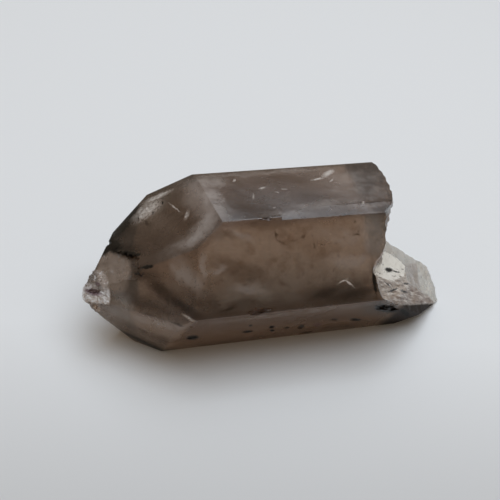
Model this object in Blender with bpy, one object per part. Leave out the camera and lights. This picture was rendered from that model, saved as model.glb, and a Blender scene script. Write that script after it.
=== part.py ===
"""Smoky quartz crystal: one six-sided quartz point, lying on one of its prism faces.

The long axis runs along X with the point at -X and the broken root at +X, Z is up,
and the origin is on the resting surface under the middle of the crystal.
"""
import math

import bmesh
import bpy
from mathutils import Matrix, Vector, noise

MM = 0.001

# ---- Driving dimensions, in millimetres and degrees --------------------------------
THICKNESS = 24.0                 # from the face it rests on to the top face
BLOCK_LENGTH = 96.0              # rough block that the growth faces are cut from
BLOCK_WIDTH = 44.0
MIDDLE = (3.874, 0.015)           # middle of the finished length and width, from the heart

# Growth faces: turn round the long axis from the front horizon, lean of the face's
# normal away from the point's direction, and distance from the heart of the crystal.
# A prism face leans 90 degrees and a point face of ideal quartz leans 51.8 degrees.
PRISM_FACES = {
    "top": (90.0, 89.7, 12.0),
    "front_upper": (29.2, 89.8, 12.0),
    "front_lower": (-31.0, 89.7, 12.45),
    "bottom": (-90.0, 90.0, 12.0),
    "back_lower": (-150.0, 90.0, 12.0),
    "back_upper": (150.4, 89.3, 12.45),
}
POINT_FACES = {
    "top": (89.2, 51.8, 15.5),
    "front_upper": (34.1, 49.7, 18.2),
    "front_lower": (-28.1, 52.7, 20.05),
    "bottom": (-90.2, 51.1, 21.95),
    "back_lower": (-149.4, 51.8, 18.2),
    "back_upper": (150.4, 50.1, 20.1),
}

# Narrow vicinal face along the rear edge of the top face, tapering to nothing
REAR_STRIP_START = (-9.6, 5.24, 23.93)
REAR_STRIP_NORMAL = (-0.010, 0.09, 0.996)

# Narrow ledge along the front edge of the top face, from its step to the break
LEDGE_START_X = -0.3
LEDGE_INNER_Y = -4.8
LEDGE_LEAN = 10.0
LEDGE_SIZE = (40.0, 8.0, 4.0)

# Broken end. Across the width, how far the upper body reaches before the break
BREAK_PROFILE = (
    (-15.0, 15.4),
    (-11.4, 15.3),
    (-10.2, 17.3),
    (-7.0, 17.4),
    (-4.4, 20.3),
    (0.0, 21.7),
    (6.0, 22.7),
    (8.0, 22.3),
    (15.0, 20.6),
)
# The clear root left standing out below the break: facets by normal and a point on each
ROOT_FACETS = {
    "front_slope": ((0.63, -0.44, 0.64), (20.5, -12.7, 8.7)),
    "back_slope": ((0.32, 0.63, 0.71), (28.1, 0.0, 9.8)),
    "undercut": ((0.47, -0.83, -0.31), (28.4, -8.1, 1.0)),
    "end": ((0.98, 0.04, 0.16), (36.6, -3.0, 0.6)),
}
FRACTURE_CELL = 0.9              # spacing of the broken surface's facets
FRACTURE_BLEND = 0.8             # how softly its facets run into each other
FRACTURE_ROUGH = 0.55            # height of its shell-like ripples
FRACTURE_GRAIN = 0.22            # height of its small steps
CUTTER_REACH = 60.0

# Flake knocked off the top point face: a bed that slopes up to a jagged little wall.
# The wall's line on the face: distance across it, and distance up it from the middle
FLAKE_MIDDLE = (-24.0, 0.3, 13.1)
FLAKE_WALL = (
    (-9.0, 3.3),
    (-4.8, 3.2),
    (-2.0, 3.9),
    (-0.4, 2.7),
    (1.4, 1.4),
    (3.2, 1.0),
    (9.0, 0.2),
)
FLAKE_DEPTH = 0.62
FLAKE_SLOPE = 0.11
FLAKE_BLOW = (4.4, -2.4, 0.0)    # where its shell-like ripples spread from
FLAKE_HALF = 8.5
FLAKE_CELL = 0.55
FLAKE_CLEARANCE = 5.0

# Chips and growth pits: growth face, place on it (X and, on the top faces, Y or, on the
# others, Z), radii, turn in the face, depth, and how uneven its skin is
HOLLOWS = {
    "crushed_tip": ("point_front", (-27.5, 9.9), (2.4, 1.5, 2.4), 0.0, 0.30, 0.30),
    "tip_groove": ("point_front", (-27.2, 9.75), (1.4, 0.5, 0.9), 0.0, 0.80, 0.08),
    "rim_notch": ("point_top", (-23.9, 5.5), (0.8, 0.7, 0.6), 0.0, 0.35, 0.10),
    "pit_by_point": ("front_lower", (-13.4, 4.5), (0.9, 0.6, 0.7), 0.0, 0.45, 0.05),
    "pit_shallow": ("front_lower", (-4.2, 4.4), (1.1, 0.4, 0.6), 0.0, 0.25, 0.05),
    "pit_small": ("front_lower", (-0.3, 5.1), (0.7, 0.4, 0.6), -55.0, 0.35, 0.03),
    "pit_low": ("front_lower", (0.4, 3.6), (0.5, 0.3, 0.5), -40.0, 0.25, 0.03),
    "pit_pair": ("front_lower", (2.8, 4.2), (0.6, 0.3, 0.5), 0.0, 0.25, 0.03),
    "pit_middle": ("front_lower", (5.4, 3.3), (0.9, 0.4, 0.6), -45.0, 0.35, 0.03),
    "pit_wide": ("front_lower", (10.4, 5.2), (1.0, 0.4, 0.6), -20.0, 0.22, 0.05),
    "pit_long": ("front_lower", (15.0, 4.1), (1.3, 0.5, 0.7), -15.0, 0.45, 0.05),
    "pit_by_break": ("front_lower", (19.0, 8.0), (3.0, 1.2, 1.3), -33.0, 0.85, 0.20),
    "lower_edge_chip": ("front_lower", (7.4, 0.7), (1.5, 0.8, 0.9), 0.0, 0.35, 0.10),
    "front_edge_chip": ("front_upper", (-4.6, 11.7), (2.6, 0.9, 1.4), 0.0, 0.38, 0.15),
    "upper_edge_chip": ("front_upper", (-3.0, 23.8), (2.6, 0.9, 1.5), 0.0, 0.30, 0.15),
}

HEART = Vector((0.0, 0.0, THICKNESS / 2))


def face_direction(turn, lean):
    """Outward direction of a growth face."""
    turn, lean = math.radians(turn), math.radians(lean)
    across = Vector((0.0, -math.cos(turn), math.sin(turn)))
    return Vector((-math.cos(lean), 0.0, 0.0)) + across * math.sin(lean)


def face_axes(turn, lean):
    """Up-slope, sideways and outward directions of a growth face, as a turn."""
    outward = face_direction(turn, lean)
    up_slope = (Vector((1.0, 0.0, 0.0)) - outward * outward.x).normalized()
    return Matrix((up_slope, outward.cross(up_slope), outward)).transposed()


def place_on(face, along, across):
    """Point on a growth face from X and, on a top face, Y or, on the others, Z."""
    turn, lean, distance = face
    out = face_direction(turn, lean)
    if abs(turn - 90.0) < 5.0:
        height = (distance - out.x * along - out.y * across) / out.z
        return Vector((along, across, height + HEART.z))
    side = (distance - out.x * along - out.z * (across - HEART.z)) / out.y
    return Vector((along, side, across))


def slice_face(mesh, point, direction):
    """Cuts away what lies beyond a plane and closes the cut with one flat face."""
    everything = mesh.verts[:] + mesh.edges[:] + mesh.faces[:]
    cut = bmesh.ops.bisect_plane(
        mesh,
        geom=everything,
        dist=1e-7,
        plane_co=point * MM,
        plane_no=direction,
        clear_outer=True,
    )
    rim = [item for item in cut["geom_cut"] if isinstance(item, bmesh.types.BMEdge)]
    bmesh.ops.edgenet_fill(mesh, edges=rim)


def add_object(name, mesh, collection):
    data = bpy.data.meshes.new(name)
    mesh.to_mesh(data)
    mesh.free()
    made = bpy.data.objects.new(name, data)
    collection.objects.link(made)
    return made


def make_cutter(name, mesh):
    """Turns a closed mesh into a hidden cutting tool placed like the crystal."""
    tool = add_object(name, mesh, cutters)
    tool.location = to_middle
    tool.hide_render = True
    tool.display_type = "WIRE"
    cut = crystal.modifiers.new(name, "BOOLEAN")
    cut.operation = "DIFFERENCE"
    cut.solver = "EXACT"
    cut.object = tool
    return tool


def reach_of_facet(facet, y, z):
    """How far along X a root facet lies at a place across the broken end."""
    normal, point = facet
    ahead = normal[0] * point[0] + normal[1] * (point[1] - y) + normal[2] * (point[2] - z)
    return ahead / normal[0]


def along_profile(profile, place):
    """Height of a line of straight stretches at a place along it."""
    for (start, low), (end, high) in zip(profile, profile[1:]):
        if place <= end:
            return low + (high - low) * max(0.0, (place - start) / (end - start))
    return profile[-1][1]


def blend(first, second, side):
    """The higher (side 1) or lower (side -1) of two reaches, eased where they meet."""
    near = max(0.0, 1.0 - abs(first - second) / (2.0 * FRACTURE_BLEND))
    chosen = max(first, second) if side > 0 else min(first, second)
    return chosen + side * near * near * FRACTURE_BLEND / 2.0


def broken_surface(y, z):
    """X of the broken end: the upper break, or the root where that stands out further."""
    slopes = [reach_of_facet(facet, y, z) for facet in ROOT_FACETS.values()]
    root = slopes[0]
    for slope in slopes[1:]:
        root = blend(root, slope, -1)
    upper = blend(along_profile(BREAK_PROFILE, y), root, 1)
    ripple = noise.noise(Vector((y * 0.16, z * 0.22, 3.7))) * FRACTURE_ROUGH
    grain = noise.noise(Vector((y * 0.62, z * 0.75, 9.1))) * FRACTURE_GRAIN
    return upper + ripple + grain


def flake_bed(up, side):
    """Height of the flake's bed over the face, well above it beyond the wall."""
    jag = noise.noise(Vector((up * 0.9, side * 1.6, 2.0))) * 0.8
    if up > along_profile(FLAKE_WALL, side) + jag:
        return 1.5
    rear = 1.0 - 0.8 * min(1.0, max(0.0, (side - 0.8) / 2.6))
    depth = (FLAKE_DEPTH + FLAKE_SLOPE * up) * rear
    blow = (Vector((up, side, 0.0)) - Vector(FLAKE_BLOW)).length
    ripple = math.sin(blow * 3.4 + noise.noise(Vector((up, side, 7.0)) * 0.5) * 3.0)
    rough = noise.fractal(Vector((up, side, 1.0)) * 0.7, 1.0, 2.0, 4)
    return ripple * 0.05 + rough * 0.16 - depth


# ---- Empty scene and its collections -----------------------------------------------
for old in list(bpy.data.objects):
    bpy.data.objects.remove(old, do_unlink=True)
parts = bpy.data.collections.new("smoky_quartz_crystal")
cutters = bpy.data.collections.new("cutters")
bpy.context.scene.collection.children.link(parts)
bpy.context.scene.collection.children.link(cutters)
to_middle = Vector((-MIDDLE[0], -MIDDLE[1], 0.0)) * MM

# ---- The grown crystal: a block cut by its growth faces ------------------------------
body = bmesh.new()
bmesh.ops.create_cube(body, size=1.0)
bmesh.ops.scale(body, vec=Vector((BLOCK_LENGTH, BLOCK_WIDTH, BLOCK_WIDTH)) * MM, verts=body.verts)
bmesh.ops.translate(body, vec=HEART * MM, verts=body.verts)
for turn, lean, distance in list(PRISM_FACES.values()) + list(POINT_FACES.values()):
    outward = face_direction(turn, lean)
    slice_face(body, HEART + outward * distance, outward)
slice_face(body, Vector(REAR_STRIP_START), Vector(REAR_STRIP_NORMAL).normalized())
bmesh.ops.recalc_face_normals(body, faces=body.faces[:])
crystal = add_object("smoky_quartz_crystal", body, parts)
crystal.location = to_middle

# ---- Front ledge of the top face ------------------------------------------------------
ledge = bmesh.new()
bmesh.ops.create_cube(ledge, size=1.0)
bmesh.ops.scale(ledge, vec=Vector(LEDGE_SIZE) * MM, verts=ledge.verts)
half = Vector((LEDGE_SIZE[0] / 2, -LEDGE_SIZE[1] / 2, LEDGE_SIZE[2] / 2)) * MM
bmesh.ops.translate(ledge, vec=half, verts=ledge.verts)
lean_over = Matrix.Rotation(math.radians(LEDGE_LEAN), 3, "X")
bmesh.ops.rotate(ledge, cent=(0.0, 0.0, 0.0), matrix=lean_over, verts=ledge.verts)
ledge_corner = Vector((LEDGE_START_X, LEDGE_INNER_Y, THICKNESS + 0.02)) * MM
bmesh.ops.translate(ledge, vec=ledge_corner, verts=ledge.verts)
make_cutter("ledge_cutter", ledge)

# ---- Broken end with the clear root left standing -------------------------------------
break_block = bmesh.new()
columns = round(BLOCK_WIDTH * 0.75 / FRACTURE_CELL)
bmesh.ops.create_grid(
    break_block,
    x_segments=columns,
    y_segments=columns,
    size=BLOCK_WIDTH * 0.375 * MM,
)
upright = Matrix(((0.0, 0.0, 1.0), (1.0, 0.0, 0.0), (0.0, 1.0, 0.0)))
bmesh.ops.rotate(break_block, cent=(0.0, 0.0, 0.0), matrix=upright, verts=break_block.verts)
bmesh.ops.translate(break_block, vec=HEART * MM, verts=break_block.verts)
broken_skin = break_block.verts[:]
thick = bmesh.ops.extrude_face_region(break_block, geom=break_block.faces[:])
far_side = [item for item in thick["geom"] if isinstance(item, bmesh.types.BMVert)]
for vertex in far_side:
    vertex.co.x = CUTTER_REACH * MM
for vertex in broken_skin:
    vertex.co.x = broken_surface(vertex.co.y / MM, vertex.co.z / MM) * MM
bmesh.ops.recalc_face_normals(break_block, faces=break_block.faces[:])
make_cutter("break_cutter", break_block)

# ---- Flake off the point ----------------------------------------------------------------
flake = bmesh.new()
cells = round(2 * FLAKE_HALF / FLAKE_CELL)
bmesh.ops.create_grid(flake, x_segments=cells, y_segments=cells, size=FLAKE_HALF * MM)
bed = flake.verts[:]
raised = bmesh.ops.extrude_face_region(flake, geom=flake.faces[:])
for vertex in [item for item in raised["geom"] if isinstance(item, bmesh.types.BMVert)]:
    vertex.co.z = FLAKE_CLEARANCE * MM
for vertex in bed:
    vertex.co.z = flake_bed(vertex.co.x / MM, vertex.co.y / MM) * MM
bmesh.ops.recalc_face_normals(flake, faces=flake.faces[:])
on_the_point = face_axes(*POINT_FACES["top"][:2])
bmesh.ops.rotate(flake, cent=(0.0, 0.0, 0.0), matrix=on_the_point, verts=flake.verts)
bmesh.ops.translate(flake, vec=Vector(FLAKE_MIDDLE) * MM, verts=flake.verts)
make_cutter("flake_cutter", flake)

# ---- Chips and growth pits ---------------------------------------------------------------
FACE_ON = {
    "point_top": POINT_FACES["top"],
    "point_front": POINT_FACES["front_upper"],
    "front_upper": PRISM_FACES["front_upper"],
    "front_lower": PRISM_FACES["front_lower"],
}
for name, (face, place, radii, turned, depth, uneven) in HOLLOWS.items():
    middle = place_on(FACE_ON[face], *place)
    outward = face_direction(*FACE_ON[face][:2])
    facing = face_axes(*FACE_ON[face][:2]) @ Matrix.Rotation(math.radians(turned), 3, "Z")
    hollow = bmesh.new()
    bmesh.ops.create_icosphere(hollow, subdivisions=3, radius=1.0)
    for vertex in hollow.verts:
        bump = noise.noise(vertex.co * 2.3 + middle) * uneven
        stretched = Vector(a * b for a, b in zip(vertex.co, radii))
        vertex.co = stretched + vertex.co * bump
    bmesh.ops.rotate(hollow, cent=(0.0, 0.0, 0.0), matrix=facing, verts=hollow.verts)
    centre = middle + outward * (radii[2] - depth)
    bmesh.ops.scale(hollow, vec=(MM, MM, MM), verts=hollow.verts)
    bmesh.ops.translate(hollow, vec=centre * MM, verts=hollow.verts)
    make_cutter(name + "_cutter", hollow)

# ---- Material ---------------------------------------------------------------------------
quartz = bpy.data.materials.new("smoky_quartz")
quartz.use_nodes = True
shader = quartz.node_tree.nodes["Principled BSDF"]
shader.inputs["Base Color"].default_value = (0.235, 0.165, 0.125, 1.0)
shader.inputs["Roughness"].default_value = 0.15
shader.inputs["Metallic"].default_value = 0.0
crystal.data.materials.append(quartz)
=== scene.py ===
import math

import bmesh
import bpy
from mathutils import Matrix, Vector, noise


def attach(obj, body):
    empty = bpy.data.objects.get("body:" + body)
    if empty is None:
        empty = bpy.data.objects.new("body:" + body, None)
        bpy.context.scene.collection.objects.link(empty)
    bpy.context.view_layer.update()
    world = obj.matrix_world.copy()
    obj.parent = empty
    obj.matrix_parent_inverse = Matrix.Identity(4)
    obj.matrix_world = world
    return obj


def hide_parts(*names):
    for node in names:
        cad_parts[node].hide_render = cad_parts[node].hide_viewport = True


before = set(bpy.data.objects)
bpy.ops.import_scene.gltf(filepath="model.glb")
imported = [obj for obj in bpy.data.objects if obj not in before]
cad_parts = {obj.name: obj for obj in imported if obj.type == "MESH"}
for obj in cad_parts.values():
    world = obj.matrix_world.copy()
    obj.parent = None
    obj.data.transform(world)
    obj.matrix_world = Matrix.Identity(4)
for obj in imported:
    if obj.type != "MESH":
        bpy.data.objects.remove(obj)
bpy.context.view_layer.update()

# ---- Smoky quartz crystal, as it grew -----------------------------------------------
# One six-sided point of natural quartz, lying on a prism face with its tip towards -X. A
# rough block, in millimetres, is cut down to its growth faces, which meet at the fixed
# angles of quartz. Their edges are only slightly worn.
MM = 0.001
HEART = Vector((0.0, 0.0, 12.0))           # the long axis runs through it
TO_MIDDLE = Vector((-3.874, -0.015, 0.0))  # brings the middle of the length over the origin
BLOCK = Vector((96.0, 44.0, 44.0))
EDGE_WEAR = 0.16
CUT_NEARNESS = 1e-5

# Growth faces: turn round the long axis from the front horizon, lean of the face off that
# axis, both in degrees, and distance from the heart
PRISM_FACES = {
    "top": (90.0, 89.7, 12.0),
    "front_upper": (29.2, 89.8, 12.0),
    "front_lower": (-31.0, 89.7, 12.45),
    "bottom": (-90.0, 90.0, 12.0),
    "back_lower": (-150.0, 90.0, 12.0),
    "back_upper": (150.4, 89.3, 12.45),
}
POINT_FACES = {
    "top": (89.2, 51.8, 15.5),
    "front_upper": (34.1, 49.7, 18.2),
    "front_lower": (-28.1, 52.7, 20.05),
    "bottom": (-90.2, 51.1, 22.5),
    "back_lower": (-149.4, 51.8, 18.2),
    "back_upper": (150.4, 50.1, 20.1),
}
# Narrow strip along the rear edge of the top face: a point on it and its direction
REAR_STRIP = (Vector((-9.6, 5.24, 23.93)), Vector((-0.010, 0.09, 0.996)))


def face_direction(turn, lean):
    """Outward direction of a growth face: turn round the long axis, lean off it."""
    turn, lean = math.radians(turn), math.radians(lean)
    across = Vector((0.0, -math.cos(turn), math.sin(turn)))
    return Vector((-math.cos(lean), 0.0, 0.0)) + across * math.sin(lean)


def slice_face(form, point, direction):
    """Cuts away what lies beyond a plane and closes the cut with one flat face."""
    cut = bmesh.ops.bisect_plane(
        form,
        geom=form.verts[:] + form.edges[:] + form.faces[:],
        dist=CUT_NEARNESS,
        plane_co=point,
        plane_no=direction,
        clear_outer=True,
    )
    rim = [item for item in cut["geom_cut"] if isinstance(item, bmesh.types.BMEdge)]
    bmesh.ops.edgenet_fill(form, edges=rim)


def object_from(name, form):
    """Puts a finished form into the scene under a name."""
    data = bpy.data.meshes.new(name)
    form.to_mesh(data)
    form.free()
    made = bpy.data.objects.new(name, data)
    bpy.context.scene.collection.objects.link(made)
    return made


grown = bmesh.new()
bmesh.ops.create_cube(grown, size=1.0)
bmesh.ops.scale(grown, vec=BLOCK, verts=grown.verts)
bmesh.ops.translate(grown, vec=HEART, verts=grown.verts)
for turn, lean, distance in list(PRISM_FACES.values()) + list(POINT_FACES.values()):
    outward = face_direction(turn, lean)
    slice_face(grown, HEART + outward * distance, outward)
slice_face(grown, *REAR_STRIP)
bmesh.ops.recalc_face_normals(grown, faces=grown.faces[:])
bmesh.ops.bevel(
    grown,
    geom=grown.edges[:],
    offset=EDGE_WEAR,
    segments=2,
    profile=0.5,
    affect="EDGES",
    material=-1,
    clamp_overlap=True,
)
crystal = object_from("crystal", grown)


def cut_away(name, form):
    """Takes a closed form out of the crystal for good."""
    tool = object_from(name, form)
    cut = crystal.modifiers.new(name, "BOOLEAN")
    cut.operation = "DIFFERENCE"
    cut.solver = "EXACT"
    cut.object = tool
    left = bpy.data.meshes.new_from_object(
        crystal.evaluated_get(bpy.context.evaluated_depsgraph_get())
    )
    crystal.modifiers.clear()
    spent = crystal.data
    crystal.data = left
    bpy.data.meshes.remove(spent)
    bpy.data.objects.remove(tool)


# ---- Ledge along the front of the top face --------------------------------------------
# A narrow growth step: the face drops a little towards its front edge, from a sharp
# cross step back to the break.
LEDGE_START = Vector((-0.3, -4.8, 24.02))
LEDGE_SIZE = Vector((40.0, 8.0, 4.0))
LEDGE_LEAN = 10.0

ledge = bmesh.new()
bmesh.ops.create_cube(ledge, size=1.0)
bmesh.ops.scale(ledge, vec=LEDGE_SIZE, verts=ledge.verts)
corner_to_start = Vector((LEDGE_SIZE.x, -LEDGE_SIZE.y, LEDGE_SIZE.z)) / 2
bmesh.ops.translate(ledge, vec=corner_to_start, verts=ledge.verts)
ledge_turn = Matrix.Rotation(math.radians(LEDGE_LEAN), 3, "X")
bmesh.ops.rotate(ledge, cent=(0.0, 0.0, 0.0), matrix=ledge_turn, verts=ledge.verts)
bmesh.ops.translate(ledge, vec=LEDGE_START, verts=ledge.verts)
cut_away("ledge", ledge)

# ---- Broken end and clear root ----------------------------------------------------------
# The crystal was snapped from its rock. The upper body broke off square, and a wedge of
# clear root was left standing out below it, with rough shell-like fracture faces.
# Across the width, how far the upper body reaches before the break
BREAK_PROFILE = (
    (-15.0, 15.4),
    (-11.4, 15.3),
    (-10.2, 17.3),
    (-7.0, 17.4),
    (-4.4, 20.3),
    (0.0, 21.7),
    (6.0, 22.7),
    (8.0, 22.3),
    (15.0, 20.6),
)
# Facets of the root: direction of each and a point on it
ROOT_FACETS = {
    "front_slope": ((0.63, -0.44, 0.64), (20.5, -12.7, 8.7)),
    "back_slope": ((0.32, 0.63, 0.71), (28.1, 0.0, 9.8)),
    "undercut": ((0.255, -0.64, -0.726), (33.5, -5.1, 1.1)),
    "end": ((0.98, 0.04, 0.16), (36.6, -3.0, 0.6)),
}
FRACTURE_CELL = 0.28
FRACTURE_BLEND = 0.5
FRACTURE_ROUGH = 0.55
FRACTURE_GRAIN = 0.30
FRACTURE_STEPS = 0.18
STEP_LEVEL = 1.2
FRACTURE_HALF = 16.5
FRACTURE_REACH = 60.0
CRACKS_MIDDLE = -1.9
CRACKS_SPREAD = 2.2
CRACKS_DEPTH = 0.42
CRACK_LEVEL = 1.1


def reach_of_facet(facet, y, z):
    """How far along X a root facet lies at a place across the broken end."""
    normal, point = facet
    ahead = normal[0] * point[0] + normal[1] * (point[1] - y) + normal[2] * (point[2] - z)
    return ahead / normal[0]


def along_profile(profile, place):
    """Height of a line of straight stretches at a place along it."""
    for (a, low), (b, high) in zip(profile, profile[1:]):
        if place <= b:
            return low + (high - low) * max(0.0, (place - a) / (b - a))
    return profile[-1][1]


def blend(first, second, side):
    """The higher (side 1) or lower (side -1) of two reaches, eased where they meet."""
    near = max(0.0, 1.0 - abs(first - second) / (2.0 * FRACTURE_BLEND))
    chosen = max(first, second) if side > 0 else min(first, second)
    return chosen + side * near * near * FRACTURE_BLEND / 2.0


def broken_surface(y, z):
    """X of the broken end: the upper break, or the root where that stands out further."""
    slopes = [reach_of_facet(facet, y, z) for facet in ROOT_FACETS.values()]
    root = slopes[0]
    for slope in slopes[1:]:
        root = blend(root, slope, -1)
    reach = blend(along_profile(BREAK_PROFILE, y), root, 1)
    ripple = noise.noise(Vector((y * 0.16, z * 0.22, 3.7))) * FRACTURE_ROUGH
    grain = noise.fractal(Vector((y * 0.62, z * 0.75, 9.1)), 0.9, 2.3, 4) * FRACTURE_GRAIN
    steps = noise.ridged_multi_fractal(Vector((y * 0.35, z * 0.8, 5.0)), 1.0, 2.1, 4, 0.9, 1.6)
    across = 0.81 * y + 0.59 * z
    along = 0.62 * y - 0.79 * z
    cracked = math.exp(-(((across - CRACKS_MIDDLE) / CRACKS_SPREAD) ** 2))
    cracks = noise.ridged_multi_fractal(
        Vector((along * 0.16, across * 0.62, 1.3)), 1.0, 2.2, 3, 0.8, 2.0
    )
    return (
        reach
        + ripple
        + grain
        + (steps - STEP_LEVEL) * FRACTURE_STEPS
        - max(0.0, cracks - CRACK_LEVEL) * CRACKS_DEPTH * cracked
    )


broken = bmesh.new()
columns = round(2 * FRACTURE_HALF / FRACTURE_CELL)
bmesh.ops.create_grid(broken, x_segments=columns, y_segments=columns, size=FRACTURE_HALF)
upright = Matrix(((0.0, 0.0, 1.0), (1.0, 0.0, 0.0), (0.0, 1.0, 0.0)))
bmesh.ops.rotate(broken, cent=(0.0, 0.0, 0.0), matrix=upright, verts=broken.verts)
bmesh.ops.translate(broken, vec=HEART, verts=broken.verts)
broken_skin = broken.verts[:]
thick = bmesh.ops.extrude_face_region(broken, geom=broken.faces[:])
for item in thick["geom"]:
    if isinstance(item, bmesh.types.BMVert):
        item.co.x = FRACTURE_REACH
for vertex in broken_skin:
    vertex.co.x = broken_surface(vertex.co.y, vertex.co.z)
bmesh.ops.recalc_face_normals(broken, faces=broken.faces[:])
cut_away("break", broken)

# ---- Flake off the point -----------------------------------------------------------------
# A knock has lifted a shallow flake off the top point face. Its bed slopes up from the
# tip to a jagged little wall, with shell-like ripples that spread from the blow.
FLAKE_MIDDLE = Vector((-24.0, 0.3, 13.1))
# The wall's line on the face: distance across it, and distance up it from the middle
FLAKE_WALL = (
    (-9.0, 3.3),
    (-4.8, 3.2),
    (-2.0, 3.9),
    (-0.4, 2.7),
    (1.4, 1.4),
    (3.2, 1.0),
    (9.0, 0.2),
)
FLAKE_DEPTH = 0.62
FLAKE_SLOPE = 0.11
FLAKE_BLOW = Vector((4.4, -2.4, 0.0))
FLAKE_HALF = 8.5
FLAKE_CELL = 0.22
FLAKE_CLEAR = 1.5                # height over the face where nothing is knocked off
FLAKE_TOP = 5.0
WALL_JAG = 0.8
WALL_FINE_JAG = 0.35
RIPPLE_HEIGHT = 0.05
RIPPLE_TURN = 3.4                # radians of ripple for each millimetre from the blow
BED_ROUGH = 0.16


def face_axes(turn, lean):
    """Up-slope, sideways and outward directions of a growth face, as a turn."""
    outward = face_direction(turn, lean)
    up_slope = (Vector((1.0, 0.0, 0.0)) - outward * outward.x).normalized()
    return Matrix((up_slope, outward.cross(up_slope), outward)).transposed()


def flake_bed(up, side):
    """Height of the flake's bed over the face, well above it beyond the wall."""
    jag = noise.noise(Vector((up * 0.9, side * 1.6, 2.0))) * WALL_JAG
    jag += noise.noise(Vector((side * 3.1, 4.0, up))) * WALL_FINE_JAG
    wall = along_profile(FLAKE_WALL, side) + jag
    if up > wall:
        return FLAKE_CLEAR
    rear = 1.0 - 0.8 * min(1.0, max(0.0, (side - 0.8) / 2.6))
    depth = (FLAKE_DEPTH + FLAKE_SLOPE * up) * rear
    blow = (Vector((up, side, 0.0)) - FLAKE_BLOW).length
    ripple = math.sin(blow * RIPPLE_TURN + noise.noise(Vector((up, side, 7.0)) * 0.5) * 3.0)
    rough = noise.fractal(Vector((up, side, 1.0)) * 0.7, 1.0, 2.0, 4)
    return -depth + ripple * RIPPLE_HEIGHT + rough * BED_ROUGH


flake = bmesh.new()
cells = round(2 * FLAKE_HALF / FLAKE_CELL)
bmesh.ops.create_grid(flake, x_segments=cells, y_segments=cells, size=FLAKE_HALF)
bed = flake.verts[:]
raised = bmesh.ops.extrude_face_region(flake, geom=flake.faces[:])
for item in raised["geom"]:
    if isinstance(item, bmesh.types.BMVert):
        item.co.z = FLAKE_TOP
for vertex in bed:
    vertex.co.z = flake_bed(vertex.co.x, vertex.co.y)
bmesh.ops.recalc_face_normals(flake, faces=flake.faces[:])
on_the_point = face_axes(*POINT_FACES["top"][:2])
bmesh.ops.rotate(flake, cent=(0.0, 0.0, 0.0), matrix=on_the_point, verts=flake.verts)
bmesh.ops.translate(flake, vec=FLAKE_MIDDLE, verts=flake.verts)
cut_away("flake", flake)

# ---- Pits and chips ------------------------------------------------------------------------
# Small growth pits dot the lower front face, the worn edges have lost chips, and the
# knocked tip is grooved and notched. Each is a rounded hollow sunk into a face.
FACE_ON = {
    "top": PRISM_FACES["top"],
    "front_upper": PRISM_FACES["front_upper"],
    "front_lower": PRISM_FACES["front_lower"],
    "point_top": POINT_FACES["top"],
    "point_front": POINT_FACES["front_upper"],
    "point_lower": POINT_FACES["front_lower"],
    "root": (55.5, 129.05, 16.4),
}
TOP_FACE_WITHIN = 5.0            # degrees of turn from straight up
UNEVEN_SPREAD = 1.6
# Growth face, place on it (X and, on the top faces, Y or, on the others, Z), radii, turn
# in the face in degrees, depth, and how uneven it is
HOLLOWS = {
    "tip_groove": ("point_front", (-27.2, 9.75), (1.4, 0.5, 0.9), 0, 0.80, 0.15),
    "knob_notch": ("point_top", (-27.0, 1.5), (0.5, 1.0, 0.6), 0, 0.42, 0.30),
    "knob_foot": ("point_lower", (-26.9, 6.9), (0.5, 0.9, 0.6), 20, 0.40, 0.30),
    "rim_notch": ("point_top", (-23.9, 5.5), (0.8, 0.7, 0.6), 0, 0.35, 0.30),
    "pit_by_point": ("front_lower", (-13.4, 4.5), (0.9, 0.6, 0.7), 0, 0.45, 0.20),
    "pit_shallow": ("front_lower", (-4.2, 4.4), (1.1, 0.4, 0.6), 0, 0.25, 0.30),
    "pit_small": ("front_lower", (-0.3, 5.1), (0.7, 0.4, 0.6), -55, 0.35, 0.15),
    "pit_low": ("front_lower", (0.4, 3.6), (0.5, 0.3, 0.5), -40, 0.25, 0.20),
    "pit_pair": ("front_lower", (2.8, 4.2), (0.6, 0.3, 0.5), 0, 0.25, 0.20),
    "pit_middle": ("front_lower", (5.4, 3.3), (0.9, 0.4, 0.6), -45, 0.35, 0.20),
    "pit_wide": ("front_lower", (10.4, 5.2), (1.0, 0.4, 0.6), -20, 0.22, 0.30),
    "pit_long": ("front_lower", (15.0, 4.1), (1.3, 0.5, 0.7), -15, 0.45, 0.20),
    "pit_by_break": ("front_lower", (19.0, 8.0), (3.0, 1.2, 1.3), -33, 0.85, 0.45),
    "lower_edge_chip": ("front_lower", (7.4, 0.7), (1.5, 0.8, 0.9), 0, 0.35, 0.30),
    "front_edge_chip": ("front_upper", (-4.6, 11.7), (2.6, 0.9, 1.4), 0, 0.38, 0.45),
    "upper_edge_chip": ("front_upper", (-3.0, 23.8), (2.6, 0.9, 1.5), 0, 0.10, 0.25),
}


def spot(face, along, across):
    """Place on a growth face from X and, on the top faces, Y or, on the others, Z."""
    turn, lean, distance = face
    out = face_direction(turn, lean)
    if abs(turn - 90.0) < TOP_FACE_WITHIN:
        height = (distance - out.x * along - out.y * across) / out.z
        return Vector((along, across, height + HEART.z))
    side = (distance - out.x * along - out.z * (across - HEART.z)) / out.y
    return Vector((along, side, across))


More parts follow.
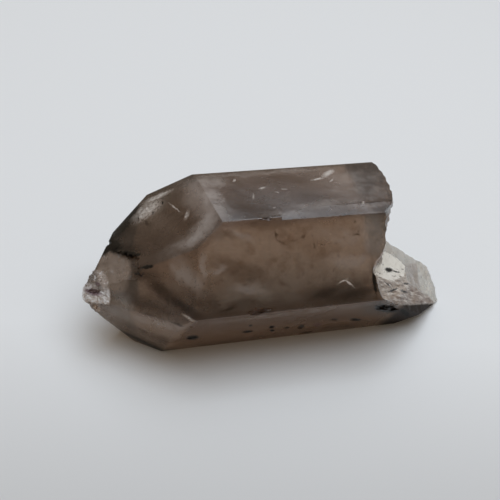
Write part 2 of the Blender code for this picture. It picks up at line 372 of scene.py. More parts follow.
for name, (face, place, radii, turned, depth, uneven) in HOLLOWS.items():
    middle = spot(FACE_ON[face], *place)
    hollow = bmesh.new()
    bmesh.ops.create_icosphere(hollow, subdivisions=4, radius=1.0)
    for vertex in hollow.verts:
        bump = noise.fractal(vertex.co * UNEVEN_SPREAD + middle, 0.8, 2.1, 3) * uneven
        vertex.co = Vector(a * b for a, b in zip(vertex.co, radii)) * (1.0 + bump)
    facing = face_axes(*FACE_ON[face][:2]) @ Matrix.Rotation(math.radians(turned), 3, "Z")
    bmesh.ops.rotate(hollow, cent=(0.0, 0.0, 0.0), matrix=facing, verts=hollow.verts)
    outward = face_direction(*FACE_ON[face][:2])
    bmesh.ops.translate(hollow, vec=middle + outward * (radii[2] - depth), verts=hollow.verts)
    cut_away(name, hollow)

# ---- Skin and crushed tip ------------------------------------------------------------------
# The very tip is bruised to a crumbly knob, whose skin is cut finer and pushed in along
# its crumbs. Elsewhere the skin is smooth, and only the true edges stay sharp.
TIP = Vector((-28.6, -1.6, 8.7))
BRUISE_REACH = 4.3
BRUISE_CELL = 0.26
BRUISE_DEPTH = 0.42
BRUISE_EDGE = 0.5
BRUISE_ROUNDS = 9
CRUMB_SPREAD = 0.9
CRUMB_RISE = 0.26
KNOB_LEAN = Vector((0.30, -0.10, 0.0))
SEAM_NEARNESS = 0.002
SHARP_ANGLE = 16.0

skin = bmesh.new()
skin.from_mesh(crystal.data)
bmesh.ops.remove_doubles(skin, verts=skin.verts, dist=SEAM_NEARNESS)
bmesh.ops.triangulate(skin, faces=skin.faces[:])
for _ in range(BRUISE_ROUNDS):
    coarse = [
        edge
        for edge in skin.edges
        if edge.calc_length() > BRUISE_CELL * 1.6
        and min((v.co - TIP).length for v in edge.verts) < BRUISE_REACH + edge.calc_length() * 0.6
    ]
    if not coarse:
        break
    bmesh.ops.subdivide_edges(skin, edges=coarse, cuts=1)
    bmesh.ops.triangulate(skin, faces=[face for face in skin.faces if len(face.verts) > 3])
skin.normal_update()
for vertex in skin.verts:
    away = (vertex.co - TIP).length + noise.noise(vertex.co * CRUMB_SPREAD) * 0.9
    share = min(1.0, max(0.0, (BRUISE_REACH - away) / BRUISE_EDGE))
    if share > 0.0:
        crumbs = noise.ridged_multi_fractal(vertex.co * CRUMB_SPREAD, 0.9, 2.2, 4, 0.9, 1.8)
        sunk = min(BRUISE_DEPTH, crumbs * CRUMB_RISE - CRUMB_RISE)
        vertex.co -= (vertex.normal * sunk + KNOB_LEAN) * share
bmesh.ops.translate(skin, vec=TO_MIDDLE, verts=skin.verts)
bmesh.ops.scale(skin, vec=(MM, MM, MM), verts=skin.verts)
skin.to_mesh(crystal.data)
skin.free()
crystal.data.shade_smooth()
crystal.data.set_sharp_from_angle(angle=math.radians(SHARP_ANGLE))

# ---- Smoky quartz ----------------------------------------------------------------------------
# See-through greyish brown stone: the smoke is in the body, and clouds, crusts, stained
# spots and a frosted tip lie at and just under the natural, faintly lined faces. Some marks
# are painted light and shade: each face's own tone, a painted contact shadow along the
# bottom edges and under the root, painted dark reflections on the point, and lighter haze
# and veils where the light falls brighter. Each mark is a mask worked out from its place,
# and colours the stone or makes it less clear.
quartz = bpy.data.materials.new("smoky_quartz")
quartz.use_nodes = True
nodes, links = quartz.node_tree.nodes, quartz.node_tree.links
shader = nodes["Principled BSDF"]


def feed(socket, source):
    """Joins a node's output to a socket, or sets the socket to a plain value."""
    if isinstance(source, bpy.types.NodeSocket):
        links.new(source, socket)
    else:
        socket.default_value = source


def reckon(kind, first, second=0.0, third=0.0, clamped=False):
    """One sum on numbers or on the outputs of other nodes."""
    node = nodes.new("ShaderNodeMath")
    node.operation = kind
    node.use_clamp = clamped
    for socket, source in zip(node.inputs, (first, second, third)):
        feed(socket, source)
    return node.outputs[0]


def reckon_place(kind, first, second=(0.0, 0.0, 0.0)):
    """One sum on places or directions."""
    node = nodes.new("ShaderNodeVectorMath")
    node.operation = kind
    feed(node.inputs[0], first)
    feed(node.inputs["Scale" if kind == "SCALE" else 1], second)
    return node.outputs["Value" if kind in ("LENGTH", "DOT_PRODUCT", "DISTANCE") else "Vector"]


def ease(value, low, high, start=0.0, end=1.0):
    """Eases from start to end while the value goes from low to high."""
    node = nodes.new("ShaderNodeMapRange")
    node.interpolation_type = "SMOOTHSTEP"
    for socket, number in zip(node.inputs[0:5], (value, low, high, start, end)):
        feed(socket, number)
    return node.outputs[0]


def grain(size, detail=4.0, rough=0.55, stretch=(1.0, 1.0, 1.0), twist=0.0):
    """Cloudy noise with blotches of a size in millimetres."""
    spread = reckon_place("MULTIPLY", from_heart, [share / size for share in stretch])
    node = nodes.new("ShaderNodeTexNoise")
    feed(node.inputs["Vector"], spread)
    node.inputs["Scale"].default_value = 1.0
    node.inputs["Detail"].default_value = detail
    node.inputs["Roughness"].default_value = rough
    node.inputs["Distortion"].default_value = twist
    return node


def blotch(shaken, centre, radii, soft):
    """A round blotch in the crystal: 1 inside it and 0 outside."""
    away = reckon_place("SUBTRACT", shaken, centre)
    away = reckon_place("LENGTH", reckon_place("DIVIDE", away, radii))
    return ease(away, 1.0 - soft / 2, 1.0 + soft / 2, 1.0, 0.0)


def pressed_flat(face, shaken, flatness=0.75):
    """Places drawn towards a growth face, so that marks on it reach deeper than wide."""
    turn, lean, distance = face
    out = face_direction(turn, lean)
    height = reckon_place("DOT_PRODUCT", shaken, out)
    lift = reckon("MULTIPLY_ADD", height, flatness, -flatness * (distance + out.dot(HEART)))
    return reckon_place("SUBTRACT", shaken, reckon_place("SCALE", out, lift))


def stains(shaken, soft, marks):
    """All marks of a list: each runs from one place to another on a growth face."""
    flat = {}
    mask = 0.0
    for face, start, end, wide in marks:
        if face not in flat:
            flat[face] = pressed_flat(FACE_ON[face], shaken)
        first, last = spot(FACE_ON[face], *start), spot(FACE_ON[face], *end)
        run = last - first
        nearest = first
        if run.length > wide * 0.3:
            along = run.normalized()
            middle = (first + last) / 2
            share = run.length / (run.length + 2 * wide)
            slide = reckon_place("DOT_PRODUCT", flat[face], along * share)
            nearest = reckon_place("SCALE", along, slide)
            nearest = reckon_place("ADD", nearest, middle - along * share * middle.dot(along))
        away = reckon_place("DISTANCE", flat[face], nearest)
        one = reckon("MULTIPLY_ADD", away, -1.0 / (wide * soft), 1.0 / soft + 0.5, clamped=True)
        mask = reckon("MAXIMUM", mask, one)
    return ease(mask, 0.0, 1.0)


def overlap(*masks):
    """Where all the masks lie."""
    shared = masks[0]
    for mask in masks[1:]:
        shared = reckon("MULTIPLY", shared, mask)
    return shared


def outside(mask):
    """Where the mask doesn't lie."""
    return reckon("SUBTRACT", 1.0, mask, clamped=True)


def at_face(face, depth):
    """1 at a growth face, fading inward over a depth."""
    turn, lean, distance = face
    out = face_direction(turn, lean)
    height = reckon_place("DOT_PRODUCT", reckon_place("SUBTRACT", from_heart, HEART), out)
    return ease(height, distance - depth, distance - depth * 0.3)


def tint(colour, mask, other, strength=1.0):
    """One colour passing into another under a mask."""
    share = reckon("MULTIPLY", mask, strength)
    node = nodes.new("ShaderNodeMix")
    node.data_type = "RGBA"
    feed(node.inputs["Factor"], share)
    feed(node.inputs["A"], colour)
    feed(node.inputs["B"], (*other, 1.0))
    return node.outputs["Result"]


coordinates = nodes.new("ShaderNodeTexCoord")
from_heart = reckon_place("SCALE", coordinates.outputs["Object"], 1.0 / MM)
from_heart = reckon_place("SUBTRACT", from_heart, TO_MIDDLE)


def shaken_by(size, reach, rough):
    """Places pushed about by noise, so that whatever is laid on them has ragged edges."""
    push = reckon_place("SUBTRACT", grain(size, 5.0, rough).outputs["Color"], (0.5, 0.5, 0.5))
    return reckon_place("ADD", from_heart, reckon_place("SCALE", push, reach))


widely = shaken_by(3.4, 3.6, 0.62)
finely = shaken_by(1.1, 1.3, 0.70)
closely = shaken_by(0.6, 0.6, 0.70)

clouds = grain(7.0, 5.0, 0.58, stretch=(0.6, 1.0, 1.0), twist=0.6).outputs["Fac"]
mottles = grain(1.9, 6.0, 0.66, twist=0.5).outputs["Fac"]
flecks = grain(0.60, 4.0, 0.72).outputs["Fac"]
specks = grain(0.34, 2.0, 0.6).outputs["Fac"]
bands = grain(1.5, 3.0, 0.55, stretch=(1.0, 0.10, 0.10)).outputs["Fac"]

# Marks: growth face, where each starts and ends on it (X and, on the top faces, Y or, on
# the others, Z), and half its width. First, white veils under the faces.
milky = stains(widely, 1.3, (
    ("top", (-9.6, 4.6), (-7.4, 4.2), 1.5),
    ("top", (-8.6, 3.0), (-8.4, -3.0), 1.0),
    # Along this edge of the point's top face the veil is partly painted light, lifting the face
    # where it turns from the light
    ("point_top", (-10.2, 4.8), (-9.4, -5.0), 1.2),
    ("point_top", (-10.6, -4.0), (-12.0, -6.4), 1.4),
    ("point_top", (-12.5, -6.6), (-16.4, -5.6), 1.5),
    ("point_front", (-16.6, 18.2), (-14.6, 15.6), 1.2),
    ("front_upper", (-13.2, 19.6), (-13.2, 17.0), 0.5),
))
milky = overlap(milky, ease(mottles, 0.36, 0.60, 0.45, 1.0))
# A thin veil where the point meets the top and front, partly painted light that lifts the point's
# top face along that edge
veil_and_light = stains(widely, 1.8, (
    ("point_top", (-11.4, 5.4), (-10.9, -3.6), 1.7),
    ("point_top", (-11.6, -4.4), (-13.4, -6.0), 1.2),
))
# Faint haze, partly painted light: on the right of the top face and by the break on the front face
# it lightens the stone where the light falls brighter
haze_and_light = stains(widely, 1.2, (
    ("top", (3.0, -4.6), (18.5, -3.6), 1.0),
    ("top", (12.5, -0.8), (18.5, -1.4), 2.4),
    ("top", (10.0, -5.6), (18.5, -5.4), 0.8),
    ("top", (12.5, 3.0), (19.5, 2.8), 2.4),
    ("top", (-9.5, 6.2), (13.0, 6.3), 0.6),
    ("top", (-2.0, -6.0), (4.0, -6.2), 0.8),
    ("front_upper", (-8.8, 22.6), (-5.8, 21.4), 0.6),
    ("front_upper", (-12.5, 17.5), (-9.8, 17.9), 0.4),
    ("front_upper", (6.5, 21.5), (12.0, 20.0), 1.3),
    ("front_upper", (14.6, 22.0), (15.8, 18.6), 2.0),
    ("front_upper", (-7.5, 14.8), (-4.5, 14.6), 1.0),
    ("front_upper", (8.0, 17.5), (14.5, 17.0), 1.2),
    ("point_front", (-24.6, 11.0), (-23.6, 10.0), 1.3),
    ("front_lower", (-12.0, 9.8), (14.0, 10.2), 1.0),
    ("point_lower", (-24.0, 6.8), (-16.0, 9.6), 1.0),
))
haze_and_light = overlap(haze_and_light, ease(mottles, 0.38, 0.62, 0.35, 1.0))
# White crust on the point, and small bruises
crusty = stains(closely, 1.6, (
    ("point_top", (-18.8, 7.0), (-17.0, 6.5), 1.6),
    ("point_top", (-17.2, 8.6), (-14.2, 7.4), 0.5),
    ("point_top", (-14.5, 4.4), (-13.8, 1.2), 0.10),
    ("point_top", (-13.4, -1.0), (-13.0, -0.2), 0.32),
    ("top", (11.8, 4.2), (13.4, 5.4), 0.45),
    ("top", (9.2, 3.0), (10.6, 3.3), 0.24),
    ("top", (11.9, 2.2), (12.4, 2.6), 0.14),
    ("top", (-4.3, 4.2), (-4.0, 4.6), 0.18),
    ("top", (-0.7, 1.5), (0.0, 1.7), 0.20),
    ("top", (-2.9, -1.2), (-2.5, -0.2), 0.12),
    ("top", (2.8, 0.8), (3.4, 0.7), 0.14),
    ("top", (1.5, 0.1), (1.7, -0.1), 0.12),
    ("top", (-0.6, -4.4), (-0.4, -4.3), 0.12),
    ("top", (14.5, -5.0), (14.7, -4.7), 0.14),
    ("front_upper", (10.2, 14.6), (11.4, 13.7), 0.13),
    ("front_upper", (8.9, 14.4), (10.2, 14.8), 0.13),
    ("point_front", (-16.0, 11.5), (-15.0, 11.3), 0.2),
))
crusty = overlap(
    crusty,
    ease(flecks, 0.34, 0.56, 0.60, 1.0),
    ease(specks, 0.38, 0.58, 0.45, 1.0),
)
# Darker smoke in the body, with painted shade low on the lower faces
smoky = stains(widely, 1.1, (
    ("top", (-5.2, 3.4), (-2.5, -0.5), 2.2),
    ("top", (-1.5, 3.8), (8.0, 3.4), 1.5),
    ("top", (5.0, -1.8), (8.5, -2.0), 1.2),
    ("top", (-9.4, -4.2), (0.0, -5.4), 1.7),
    ("point_top", (-14.0, 3.0), (-12.8, -3.0), 2.4),
    ("point_top", (-20.8, 4.0), (-18.5, -2.0), 2.8),
    ("point_top", (-20.0, 6.4), (-18.8, 7.4), 0.9),
    ("point_top", (-12.0, 6.5), (-9.0, 7.0), 0.9),
    ("point_front", (-21.8, 14.8), (-19.0, 15.4), 1.1),
    ("point_front", (-20.6, 14.2), (-14.6, 12.0), 1.0),
    ("point_front", (-22.0, 10.4), (-17.0, 10.0), 1.5),
    ("front_upper", (-13.0, 12.4), (3.0, 12.4), 0.9),
    ("front_upper", (4.0, 12.8), (15.0, 13.2), 1.6),
    ("front_upper", (-10.0, 18.4), (-4.0, 16.2), 1.3),
    ("front_upper", (-14.0, 14.0), (-12.0, 13.0), 1.4),
    ("front_upper", (-12.0, 22.4), (-6.8, 21.9), 0.6),
    ("front_upper", (-4.9, 23.3), (0.4, 23.2), 0.8),
    # This band, and the last one on the lower point face, are painted shade, darker towards the
    # floor
    ("front_lower", (-14.0, 2.4), (24.0, 2.2), 2.2),
    ("front_lower", (4.0, 6.4), (14.0, 6.0), 1.6),
    ("front_lower", (21.0, 6.4), (25.5, 3.0), 1.2),
    ("point_lower", (-22.0, 4.0), (-15.0, 4.0), 1.4),
))
smoky = overlap(smoky, ease(mottles, 0.34, 0.60, 1.0, 0.55))
# Deep brown bands along the edges, partly painted: dark reflection along the left edge of the
# point's top face and contact shadow along the bottom edges by the floor; and stained hairline
# cracks
deep_stains_and_shade = stains(finely, 1.7, (
    # Painted dark reflection along the left edge of the point's top face
    ("point_top", (-23.0, 5.6), (-20.0, 7.6), 1.8),
    ("point_top", (-22.4, 2.6), (-20.6, -1.0), 0.7),
    ("point_front", (-21.6, 14.2), (-19.4, 14.9), 0.7),
    ("point_front", (-20.0, 14.2), (-18.0, 13.2), 1.0),
    ("point_front", (-18.0, 13.2), (-14.6, 12.0), 0.6),
    ("front_upper", (4.6, 12.8), (8.0, 13.4), 0.8),
    ("front_upper", (8.0, 12.4), (14.4, 12.8), 0.8),
    ("front_upper", (14.9, 16.2), (15.3, 12.2), 0.45),
    ("front_upper", (-5.9, 11.6), (-3.4, 11.5), 0.35),
    ("front_upper", (-10.6, 12.2), (-8.6, 12.6), 0.25),
    ("front_upper", (-1.6, 22.2), (-1.3, 21.2), 0.16),
    ("front_upper", (-1.2, 20.9), (0.0, 20.4), 0.12),
    ("front_upper", (2.9, 21.1), (3.3, 21.2), 0.16),
    ("front_upper", (0.9, 20.7), (2.0, 20.8), 0.08),
    ("front_upper", (11.9, 20.9), (12.6, 20.8), 0.16),
    ("front_upper", (9.6, 23.5), (11.4, 23.6), 0.14),
    ("front_upper", (11.9, 22.7), (12.1, 22.6), 0.14),
    ("front_upper", (4.9, 19.5), (4.9, 20.2), 0.10),
    ("front_upper", (6.0, 20.0), (6.1, 19.9), 0.10),
    ("point_top", (-18.2, 4.4), (-18.0, 3.0), 0.3),
    ("point_front", (-17.4, 9.9), (-16.4, 10.0), 0.22),
    # These two bands and the last one run along the bottom edges by the floor: painted contact
    # shadow
    ("front_lower", (-14.0, 0.6), (4.0, 0.6), 1.4),
    ("front_lower", (4.0, 1.0), (24.0, 1.2), 2.0),
    ("front_lower", (16.8, 9.2), (21.4, 6.0), 1.3),
    ("front_lower", (22.6, 6.2), (26.2, 2.8), 0.9),
    ("point_lower", (-23.0, 1.7), (-15.0, 0.0), 1.2),
))
# Near-black marks: painted dark reflection in the corners of the point's top face, near-black pits,
# and painted contact shadow along the bottom of the lower point face
black = stains(closely, 1.0, (
    # Painted dark reflection in the corners of the point's top face
    ("point_top", (-23.0, 6.4), (-21.2, 7.0), 1.5),
    ("point_top", (-21.2, 7.6), (-18.6, 8.8), 0.7),
    ("point_top", (-23.8, 5.8), (-22.9, 2.6), 1.1),
    ("point_top", (-22.8, 1.8), (-20.9, -1.4), 0.35),
    ("point_top", (-21.0, -1.4), (-20.6, -1.8), 0.3),
    ("point_top", (-20.9, -4.8), (-19.8, -5.8), 0.3),
    ("point_top", (-19.0, 5.8), (-18.9, 6.4), 0.12),
    ("point_top", (-15.4, 5.4), (-15.2, 6.1), 0.12),
    ("point_top", (-17.0, 4.8), (-16.9, 5.2), 0.12),
    ("point_front", (-22.8, 14.0), (-21.4, 14.4), 0.25),
    ("front_upper", (14.9, 15.2), (15.3, 12.6), 0.28),
    # Near-black pits on the lower front face
    ("front_lower", (-13.6, 4.9), (-13.1, 4.3), 0.95),
    ("front_lower", (-4.6, 7.2), (-4.4, 6.7), 0.30),
    ("front_lower", (-4.6, 4.5), (-3.9, 4.4), 0.60),
    ("front_lower", (-0.5, 5.6), (-0.1, 4.9), 0.42),
    ("front_lower", (0.2, 3.9), (0.5, 3.4), 0.40),
    ("front_lower", (2.6, 4.2), (2.9, 3.9), 0.36),
    ("front_lower", (5.2, 4.4), (5.6, 3.2), 0.50),
    ("front_lower", (10.2, 5.7), (11.2, 5.1), 0.42),
    ("front_lower", (14.2, 4.7), (15.9, 3.8), 0.60),
    ("front_lower", (16.9, 9.2), (18.4, 7.4), 0.95),
    ("front_lower", (18.4, 7.4), (21.4, 6.0), 0.75),
    ("front_lower", (22.6, 6.4), (25.8, 3.0), 0.45),
    # Painted contact shadow along the bottom edge of the lower point face
    ("point_lower", (-23.0, 1.7), (-16.4, 0.0), 0.55),
    ("point_top", (-24.6, 4.0), (-23.0, 4.6), 0.8),
))
black = ease(overlap(black, ease(flecks, 0.35, 0.60, 1.0, 0.75)), 0.0, 0.74)

ROOT_SKIN = 1.6


def patch(face, shaken, soft, corners):
    """A straight-sided patch on a growth or broken face, its corners given in turn."""
    turn, lean, distance = FACE_ON[face]
    out = face_direction(turn, lean)
    places = [spot(FACE_ON[face], *corner) for corner in corners]
    middle = sum(places, Vector()) / len(places)
    mask = at_face(FACE_ON[face], ROOT_SKIN)
    for first, last in zip(places, places[1:] + places[:1]):
        side = (last - first).cross(out).normalized()
        if side.dot(middle - first) > 0.0:
            side = -side
        beyond = reckon_place("DOT_PRODUCT", shaken, side)
        edge = side.dot(first) / soft + 0.5
        within = reckon("MULTIPLY_ADD", beyond, -1.0 / soft, edge, clamped=True)
        mask = reckon("MINIMUM", mask, within)
    return mask


# Fresh skin of the flake's bed, and the frosted knob, which fades out upward
flake_skin = blotch(closely, (-24.4, -0.8, 12.4), (3.0, 4.8, 2.4), 0.3)
KNOB_FLOOR = -0.15
knob_floor = reckon_place("DOT_PRODUCT", closely, Vector((0.19, 0.52, 0.83)))
frosted = overlap(
    blotch(closely, TIP, (BRUISE_REACH,) * 3, 0.10),
    ease(knob_floor, KNOB_FLOOR - 0.15, KNOB_FLOOR + 0.15),
    ease(knob_floor, KNOB_FLOOR + 1.5, KNOB_FLOOR + 3.2, 1.0, 0.25),
    ease(flecks, 0.34, 0.54, 0.5, 1.0),
    ease(specks, 0.36, 0.52, 0.35, 1.0),
)
# Wine-coloured stain in the groove of the tip
wine = stains(closely, 0.9, (
    ("point_front", (-28.4, 9.3), (-26.8, 9.6), 0.42),
    ("point_front", (-27.4, 10.8), (-26.6, 10.8), 0.2),
    ("front_lower", (7.8, 4.6), (8.8, 3.0), 0.6),
))

# The broken end: the rim of the upper body, the clear root, and the nose below it, painted
# near-black as the shade where it faces the floor
heights = nodes.new("ShaderNodeSeparateXYZ")
feed(heights.inputs[0], from_heart)
off_front = outside(at_face(FACE_ON["front_upper"], 0.5))
rim = overlap(
    off_front,
    outside(at_face(FACE_ON["top"], 0.5)),
    ease(heights.outputs["Z"], 15.0, 16.5),
    ease(heights.outputs["X"], 15.0, 16.0),
)
NOSE_EDGE = -5.0
above_nose = reckon_place("DOT_PRODUCT", closely, Vector((-0.07, 0.74, 0.665)))
above_nose = ease(above_nose, NOSE_EDGE - 0.25, NOSE_EDGE + 0.25)
# Painted shade: the root's underside by the floor turns near-black, dull and cloudy
shaded_nose = overlap(ease(heights.outputs["X"], 20.0, 23.0), outside(above_nose))
off_body = overlap(
    off_front,
    outside(at_face(FACE_ON["front_lower"], 0.4)),
    ease(heights.outputs["Z"], 17.5, 16.0),
    above_nose,
)
on_root = overlap(at_face(FACE_ON["root"], ROOT_SKIN), off_body)
root = overlap(blotch(widely, (27.5, -4.0, 4.5), (11.0, 12.0, 11.5), 0.25), above_nose)

# Patches on the root's slope: a cream one, one with cracks, a rosy one and a dull strip
cream = patch("root", closely, 0.25, (
    (21.4, 13.6), (24.3, 11.4), (26.9, 9.1), (25.9, 8.6), (20.6, 11.0), (15.6, 14.4), (15.4, 15.9),
))
cracked = patch("root", closely, 0.35, (
    (15.4, 15.0), (26.2, 9.2), (27.0, 7.4), (24.2, 7.8), (16.4, 11.4), (14.8, 13.0),
))
rosy = patch("root", closely, 0.6, (
    (25.6, 8.2), (33.6, 2.0), (34.4, 0.8), (21.4, 7.6), (17.0, 10.6), (15.4, 12.6),
))
strip = patch("root", closely, 0.5, ((26.9, 9.2), (31.6, 6.8), (30.8, 3.2), (26.0, 7.0)))
cream, cracked, rosy, strip = (overlap(part, off_body) for part in (cream, cracked, rosy, strip))
broken = reckon("MAXIMUM", cracked, rosy)

# Crack lines that run across the root's slope
CRACKS_ALONG = Vector((0.76, 0.40, -0.51)) * 0.42
CRACKS_ACROSS = Vector((-0.03, 0.81, 0.59)) * 2.2
streaks = nodes.new("ShaderNodeTexNoise")
streaks.inputs["Scale"].default_value = 1.0
streaks.inputs["Detail"].default_value = 4.0
streaks.inputs["Roughness"].default_value = 0.68
level = nodes.new("ShaderNodeCombineXYZ")
feed(level.inputs[0], reckon_place("DOT_PRODUCT", from_heart, CRACKS_ALONG))
feed(level.inputs[1], reckon_place("DOT_PRODUCT", from_heart, CRACKS_ACROSS))
feed(streaks.inputs["Vector"], level.outputs[0])
streaks = streaks.outputs["Fac"]
pale_streaks = overlap(broken, ease(streaks, 0.50, 0.64))
dark_streaks = overlap(broken, ease(streaks, 0.46, 0.37))
# Near-black marks in the pits and cracks of the root
dark_root_flecks = stains(closely, 0.8, (
    ("root", (20.0, 12.5), (21.8, 11.5), 0.42),
    ("root", (19.4, 13.3), (19.5, 13.3), 0.18),
    ("root", (22.0, 11.3), (24.2, 9.9), 0.13),
    ("root", (25.0, 8.3), (26.6, 7.4), 0.17),
    ("root", (23.2, 8.6), (25.4, 7.2), 0.20),
    ("root", (19.0, 10.9), (22.2, 9.4), 0.17),
    ("root", (18.0, 12.4), (20.4, 10.4), 0.12),
))

# Painted light and shade, face by face: the skin of the top, the point's top, the point's front and
# the lower front faces is darkened, and the lower point face is lightened, for how the light falls
# on each
shaded_top_skin = at_face(FACE_ON["top"], 1.4)
shaded_point_skin = at_face(FACE_ON["point_top"], 1.2)
shaded_side_skin = at_face(FACE_ON["point_front"], 1.2)
shaded_front_skin = at_face(FACE_ON["front_lower"], 1.2)
lit_lower_point_skin = at_face(FACE_ON["point_lower"], 1.2)

# Colours in the order in which they lie over each other, and how strongly
stone = (0.86, 0.73, 0.61, 1.0)
for mask, colour, strength in (
    (ease(clouds, 0.40, 0.64), (0.66, 0.50, 0.38), 1.0),
    (ease(mottles, 0.46, 0.66), (0.38, 0.25, 0.17), 0.65),
    (ease(bands, 0.50, 0.72), (0.90, 0.80, 0.74), 0.3),
    # Painted shade and light on each face's skin
    (shaded_top_skin, (0.31, 0.245, 0.235), 0.78),
    (shaded_point_skin, (0.30, 0.21, 0.16), 0.70),
    (shaded_side_skin, (0.54, 0.40, 0.31), 0.45),
    (root, (0.95, 0.93, 0.90), 1.0),
    (shaded_front_skin, (0.30, 0.195, 0.13), 0.80),
    (lit_lower_point_skin, (0.82, 0.64, 0.50), 0.60),
    (smoky, (0.17, 0.105, 0.07), 0.8),
    (haze_and_light, (0.74, 0.67, 0.63), 0.7),
    (milky, (0.76, 0.68, 0.63), 0.8),
    (veil_and_light, (0.74, 0.67, 0.63), 0.55),
    (flake_skin, (0.68, 0.53, 0.43), 0.9),
    (on_root, (0.94, 0.94, 0.88), 0.9),
    (strip, (0.62, 0.56, 0.51), 0.8),
    (rosy, (0.30, 0.21, 0.165), 0.88),
    (cracked, (0.46, 0.37, 0.30), 0.9),
    (cream, (0.92, 0.88, 0.80), 1.0),
    (rim, (0.20, 0.155, 0.125), 0.8),
    (pale_streaks, (0.90, 0.85, 0.79), 0.9),
    (dark_streaks, (0.10, 0.065, 0.05), 0.85),
    (crusty, (0.95, 0.89, 0.83), 1.0),
    (frosted, (0.97, 0.96, 0.97), 1.0),
    (wine, (0.22, 0.125, 0.155), 0.9),
    (ease(specks, 0.63, 0.70), (0.05, 0.035, 0.025), 0.6),
    (deep_stains_and_shade, (0.060, 0.032, 0.017), 0.85),
    (shaded_nose, (0.014, 0.008, 0.005), 1.0),
    (black, (0.003, 0.002, 0.0015), 1.0),
    (dark_root_flecks, (0.01, 0.009, 0.007), 1.0),
):
    stone = tint(stone, mask, colour, strength)
feed(shader.inputs["Base Color"], stone)

# How clear it is, and how much of that each mark takes away
CLEAREST = 0.90
CLOUDIEST = 0.08
see_through = CLEAREST
for mask, amount in (
    (milky, 0.16),
    (haze_and_light, 0.12),
    (veil_and_light, 0.14),
    (flake_skin, 0.16),
    (on_root, 0.30),
    (crusty, 0.58),
    (rosy, 0.20),
    (cracked, 0.25),
    (lit_lower_point_skin, 0.10),
    (cream, 0.60),
    (frosted, 0.68),
    (shaded_nose, 0.62),
    (ease(black, 0.75, 1.0), 0.6),
):
    see_through = reckon("SUBTRACT", see_through, reckon("MULTIPLY", mask, amount))
feed(shader.inputs["Transmission Weight"], reckon("MAXIMUM", see_through, CLOUDIEST))

# How dull its skin is, and how much each mark adds
dull = ease(clouds, 0.35, 0.7, 0.18, 0.30)
for mask, amount in (
    (milky, 0.10),
    (crusty, 0.30),
    (frosted, 0.30),
    (cream, 0.30),
    (broken, 0.10),
    (shaded_nose, 0.45),
):
    dull = reckon("ADD", dull, reckon("MULTIPLY", mask, amount))
feed(shader.inputs["Roughness"], dull)

# Faint lumps and growth lines that can be felt but hardly seen
RELIEF_HEIGHT = 0.2 * MM
RELIEF_SHARE = 0.35
growth_lines = grain(0.5, 2.0, 0.5, stretch=(1.0, 0.06, 0.06)).outputs["Fac"]
lumps = reckon("ADD", reckon("MULTIPLY", mottles, 0.6), reckon("MULTIPLY", flecks, 0.30))
lumps = reckon("ADD", lumps, reckon("MULTIPLY", growth_lines, 0.12))
relief = nodes.new("ShaderNodeBump")
relief.inputs["Strength"].default_value = RELIEF_SHARE
relief.inputs["Distance"].default_value = RELIEF_HEIGHT
feed(relief.inputs["Height"], lumps)
feed(shader.inputs["Normal"], relief.outputs["Normal"])

QUARTZ_IOR = 1.544
SHINE = 0.28
SMOKE_COLOUR = (0.40, 0.24, 0.09, 1.0)
SMOKE_DENSITY = 95.0
shader.inputs["IOR"].default_value = QUARTZ_IOR
shader.inputs["Specular IOR Level"].default_value = SHINE
smoke = nodes.new("ShaderNodeVolumeAbsorption")
smoke.inputs["Color"].default_value = SMOKE_COLOUR
smoke.inputs["Density"].default_value = SMOKE_DENSITY
links.new(smoke.outputs["Volume"], nodes["Material Output"].inputs["Volume"])
crystal.data.materials.clear()
crystal.data.materials.append(quartz)
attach(crystal, "root")
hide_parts("smoky_quartz_crystal")

# ---- Surface it lies on -------------------------------------------------------------------------
# A big flat sheet of pale matt paper, with a painted soft shadow: its colour turns greyer
# towards the front. Nothing fixes the crystal to it.
PAPER_HALF = 1.5
# Painted shadow: the paper's colour at the front
PAPER_SHADED_NEAR = (0.58, 0.575, 0.57, 1.0)
PAPER_FAR = (0.80, 0.80, 0.80, 1.0)
PAPER_AHEAD = (6.0, 22.0, 0.0)    # direction in which it gets lighter, and how fast
PAPER_START = 1.15
PAPER_ROUGHNESS = 0.7

floor_form = bmesh.new()
bmesh.ops.create_grid(floor_form, x_segments=1, y_segments=1, size=PAPER_HALF)
floor = object_from("floor", floor_form)
paper = bpy.data.materials.new("pale_floor")
paper.use_nodes = True
paper_nodes, paper_links = paper.node_tree.nodes, paper.node_tree.links
paper_place = paper_nodes.new("ShaderNodeTexCoord")
paper_ahead = paper_nodes.new("ShaderNodeVectorMath")
paper_ahead.operation = "DOT_PRODUCT"
paper_links.new(paper_place.outputs["Object"], paper_ahead.inputs[0])
paper_ahead.inputs[1].default_value = PAPER_AHEAD
paper_rise = paper_nodes.new("ShaderNodeMath")
paper_links.new(paper_ahead.outputs["Value"], paper_rise.inputs[0])
paper_rise.inputs[1].default_value = PAPER_START
paper_shade = paper_nodes.new("ShaderNodeMix")
paper_shade.data_type = "RGBA"
paper_shade.inputs["A"].default_value = PAPER_SHADED_NEAR
paper_shade.inputs["B"].default_value = PAPER_FAR
paper_links.new(paper_rise.outputs[0], paper_shade.inputs["Factor"])
paper_shader = paper_nodes["Principled BSDF"]
paper_links.new(paper_shade.outputs["Result"], paper_shader.inputs["Base Color"])
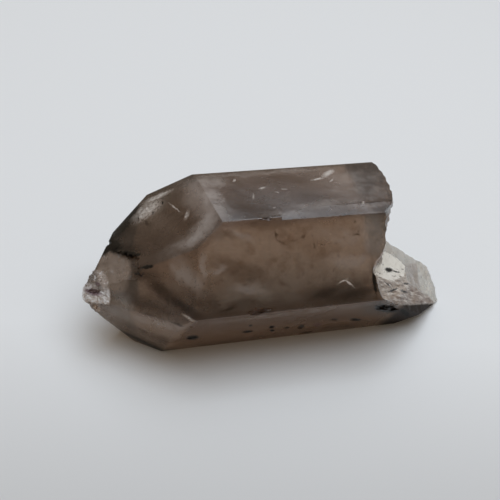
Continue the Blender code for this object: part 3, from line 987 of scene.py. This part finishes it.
paper_shader.inputs["Roughness"].default_value = PAPER_ROUGHNESS
floor.data.materials.append(paper)

# ---- Light --------------------------------------------------------------------------------------
# Cool, soft daylight from a broad panel overhead and a smaller window behind it, in a warm,
# dim room.
ROOM_COLOUR = (1.0, 0.82, 0.62, 1.0)
ROOM_STRENGTH = 0.27
DAYLIGHT = (0.79, 0.89, 1.0)
world = bpy.data.worlds.new("soft_room")
world.use_nodes = True
room = world.node_tree.nodes["Background"]
room.inputs["Color"].default_value = ROOM_COLOUR
room.inputs["Strength"].default_value = ROOM_STRENGTH
bpy.context.scene.world = world

# Name, side in metres, watts and place
for name, size, power, place in (
    ("overhead_panel", 0.80, 4.4, (0.09, 0.03, 0.70)),
    ("window_behind", 0.50, 1.0, (0.14, 0.46, 0.72)),
):
    panel = bpy.data.lights.new(name, "AREA")
    panel.shape = "SQUARE"
    panel.size = size
    panel.energy = power
    panel.color = DAYLIGHT
    hung = bpy.data.objects.new(name, panel)
    hung.location = place
    hung.rotation_euler = (-hung.location).to_track_quat("-Z", "Y").to_euler()
    bpy.context.scene.collection.objects.link(hung)

# ---- Camera --------------------------------------------------------------------------------------
# Close by, looking down on the crystal from in front of its point.
CAMERA_PLACE = Vector((-0.055911, -0.112861, 0.095375))
CAMERA_RIGHT = Vector((0.9367, -0.3256, 0.1290))
CAMERA_UP = Vector((0.0821, 0.5623, 0.8228))
CAMERA_BACK = Vector((-0.3404, -0.7601, 0.5535))
FOCAL_LENGTH = 65.28
SENSOR_WIDTH = 36.0
CLIP_START = 0.01

lens = bpy.data.cameras.new("camera")
lens.sensor_width = SENSOR_WIDTH
lens.lens = FOCAL_LENGTH
lens.clip_start = CLIP_START
camera = bpy.data.objects.new("camera", lens)
turned = Matrix((CAMERA_RIGHT, CAMERA_UP, CAMERA_BACK)).transposed().to_4x4()
turned.translation = CAMERA_PLACE
camera.matrix_world = turned
bpy.context.scene.collection.objects.link(camera)
bpy.context.scene.camera = camera

bpy.context.scene.view_settings.view_transform = "Standard"
